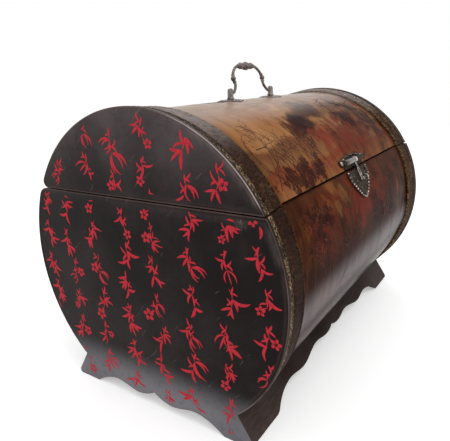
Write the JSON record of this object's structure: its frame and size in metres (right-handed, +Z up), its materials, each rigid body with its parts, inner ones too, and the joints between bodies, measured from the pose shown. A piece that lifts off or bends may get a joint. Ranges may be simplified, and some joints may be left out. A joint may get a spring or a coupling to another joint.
{
  "type": "wooden box",
  "caption": "Barrel-shaped wooden box on scalloped foot rails, with a hinged lid, a bail handle on top and a hasp latch in front.",
  "frame": {"origin": "centre of the footprint, on the floor", "axes": "+X along the barrel, +Y towards the hinges at the back, +Z up"},
  "size_m": [0.36, 0.2598, 0.2868],
  "materials": {
    "leather": "satin, black-brown, worn at the edges",
    "band": "embossed, dark brown with tan flecks",
    "trim": "embossed, rubbed gold",
    "paint": "varnished ochre and russet painting",
    "wood": "plain sawn",
    "lining": "matt dark red",
    "bronze": "antique dark bronze",
    "brass": "aged brass"
  },
  "bodies": {
    "root": {"front_wall": "wood", "rear_wall": "wood", "front_wrap": "paint", "rear_wrap": "paint", "floor_board": "wood", "front_foot_rail": "leather", "rear_foot_rail": "leather", "left_end_panel": "wood", "right_end_panel": "wood", "left_end_leather": "leather", "right_end_leather": "leather", "left_rear_band": "band", "left_front_band": "band", "right_rear_band": "band", "right_front_band": "band", "left_rear_trim": "trim", "left_front_trim": "trim", "right_rear_trim": "trim", "right_front_trim": "trim", "body_lining": "lining", "left_hinge_body_leaf": "brass", "right_hinge_body_leaf": "brass", "left_hinge_pin": "brass", "right_hinge_pin": "brass", "hinge_body_nail_1": "brass", "hinge_body_nail_2": "brass", "hinge_body_nail_3": "brass", "hinge_body_nail_4": "brass", "latch_body_plate": "bronze", "latch_staple": "brass", "latch_body_nail_1": "brass", "latch_body_nail_2": "brass", "latch_body_nail_3": "brass"},
    "lid": {"lid_shell": "wood", "lid_wrap": "paint", "lid_left_panel": "wood", "lid_right_panel": "wood", "lid_left_leather": "leather", "lid_right_leather": "leather", "lid_left_band": "band", "lid_right_band": "band", "lid_left_trim": "trim", "lid_right_trim": "trim", "lid_lining": "lining", "left_hinge_lid_leaf": "brass", "right_hinge_lid_leaf": "brass", "hinge_lid_nail_1": "brass", "hinge_lid_nail_2": "brass", "latch_lid_plate": "bronze", "latch_pin": "brass", "latch_lid_nail_1": "brass", "latch_lid_nail_2": "brass", "left_rosette": "bronze", "right_rosette": "bronze", "left_post": "bronze", "right_post": "bronze", "left_post_nut": "brass", "right_post_nut": "brass"},
    "hasp": {"latch_hasp": "bronze"},
    "bail": {"handle_bail": "bronze"}
  },
  "joints": [
    {"name": "lid_hinge", "type": "hinge", "parent": "root", "child": "lid", "pos_m": [0, 0.1125, 0.1855], "axis": [-1, 0, 0], "range_deg": [0, 110]},
    {"name": "hasp_hinge", "type": "hinge", "parent": "lid", "child": "hasp", "pos_m": [0, -0.1093, 0.1933], "axis": [-1, 0, 0], "range_deg": [0, 150]},
    {"name": "bail_swing", "type": "hinge", "parent": "lid", "child": "bail", "pos_m": [0, 0, 0.2575], "axis": [1, 0, 0], "range_deg": [-80, 110]}
  ]
}
